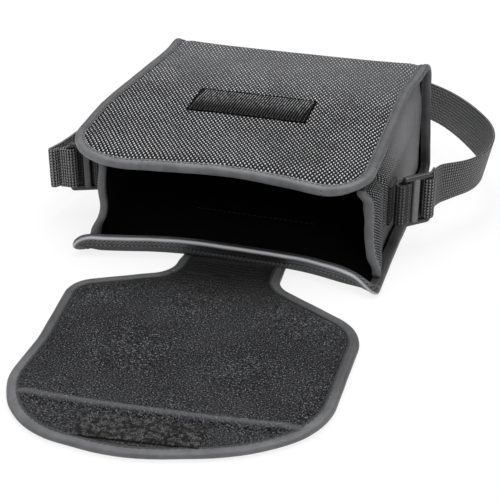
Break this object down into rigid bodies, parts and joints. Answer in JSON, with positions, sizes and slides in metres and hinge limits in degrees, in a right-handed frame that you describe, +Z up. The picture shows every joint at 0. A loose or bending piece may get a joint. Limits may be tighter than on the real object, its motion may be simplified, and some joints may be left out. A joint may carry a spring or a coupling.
{
  "type": "binocular case",
  "caption": "Soft padded bag with a wide mouth, a folding closing flap with hook-and-loop tape, and a webbing strap held by slotted buckles.",
  "frame": {"origin": "middle of the back panel's resting face, half way from the mouth edge to the base", "axes": "+X across the bag, to the right as seen from the mouth; +Y from the mouth to the base; +Z up from the back panel to the front panel"},
  "size_m": [0.26, 0.4224, 0.0745],
  "materials": {
    "shell_fabric": "coarse basket-weave nylon, slight sheen",
    "foam": "closed-cell foam sheet",
    "board": "thin stiffener sheet, hidden",
    "lining": "short brushed pile",
    "binding": "smooth folded tape with one row of stitches",
    "hook_tape": "ribbed hook tape",
    "loop_tape": "fuzzy loop tape",
    "webbing": "ribbed nylon webbing",
    "buckle": "moulded, semi-gloss"
  },
  "bodies": {
    "case": {"outer_shell": "shell_fabric", "shell_padding": "foam", "shell_lining": "lining", "front_board": "board", "base_board": "board", "back_board": "board", "gusset_left_outer": "shell_fabric", "gusset_left_padding": "foam", "gusset_left_lining": "lining", "gusset_right_outer": "shell_fabric", "gusset_right_padding": "foam", "gusset_right_lining": "lining", "front_binding": "binding", "back_binding": "binding", "side_binding_left": "binding", "side_binding_right": "binding", "gusset_binding_left": "binding", "gusset_binding_right": "binding", "hook_patch": "hook_tape", "flap_root": "shell_fabric", "tab_patch_left": "webbing", "tab_patch_right": "webbing"},
    "flap_top": {"flap_top_outer": "shell_fabric", "flap_top_board": "board", "flap_top_lining": "lining", "flap_top_binding": "binding"},
    "flap_front": {"flap_front_outer": "shell_fabric", "flap_front_board": "board", "flap_front_lining": "lining", "flap_front_binding": "binding", "loop_patch": "loop_tape"},
    "strap": {"strap_webbing": "webbing", "buckle_left": "buckle", "buckle_right": "buckle", "tab_loop_left": "webbing", "tab_loop_right": "webbing"}
  },
  "joints": [
    {"name": "flap_fold", "type": "hinge", "parent": "case", "child": "flap_top", "pos_m": [0.006, -0.0955, 0.0026], "axis": [-0.9945, -0.1045, 0], "range_deg": [0, 90]},
    {"name": "flap_front_fold", "type": "hinge", "parent": "flap_top", "child": "flap_front", "pos_m": [0.01185, -0.15119, 0.0026], "axis": [-0.9945, -0.1045, 0], "range_deg": [0, 84]},
    {"name": "strap_swing", "type": "hinge", "parent": "case", "child": "strap", "pos_m": [0, -0.0365, 0.03], "axis": [1, 0, 0], "range_deg": [0, 180]}
  ]
}
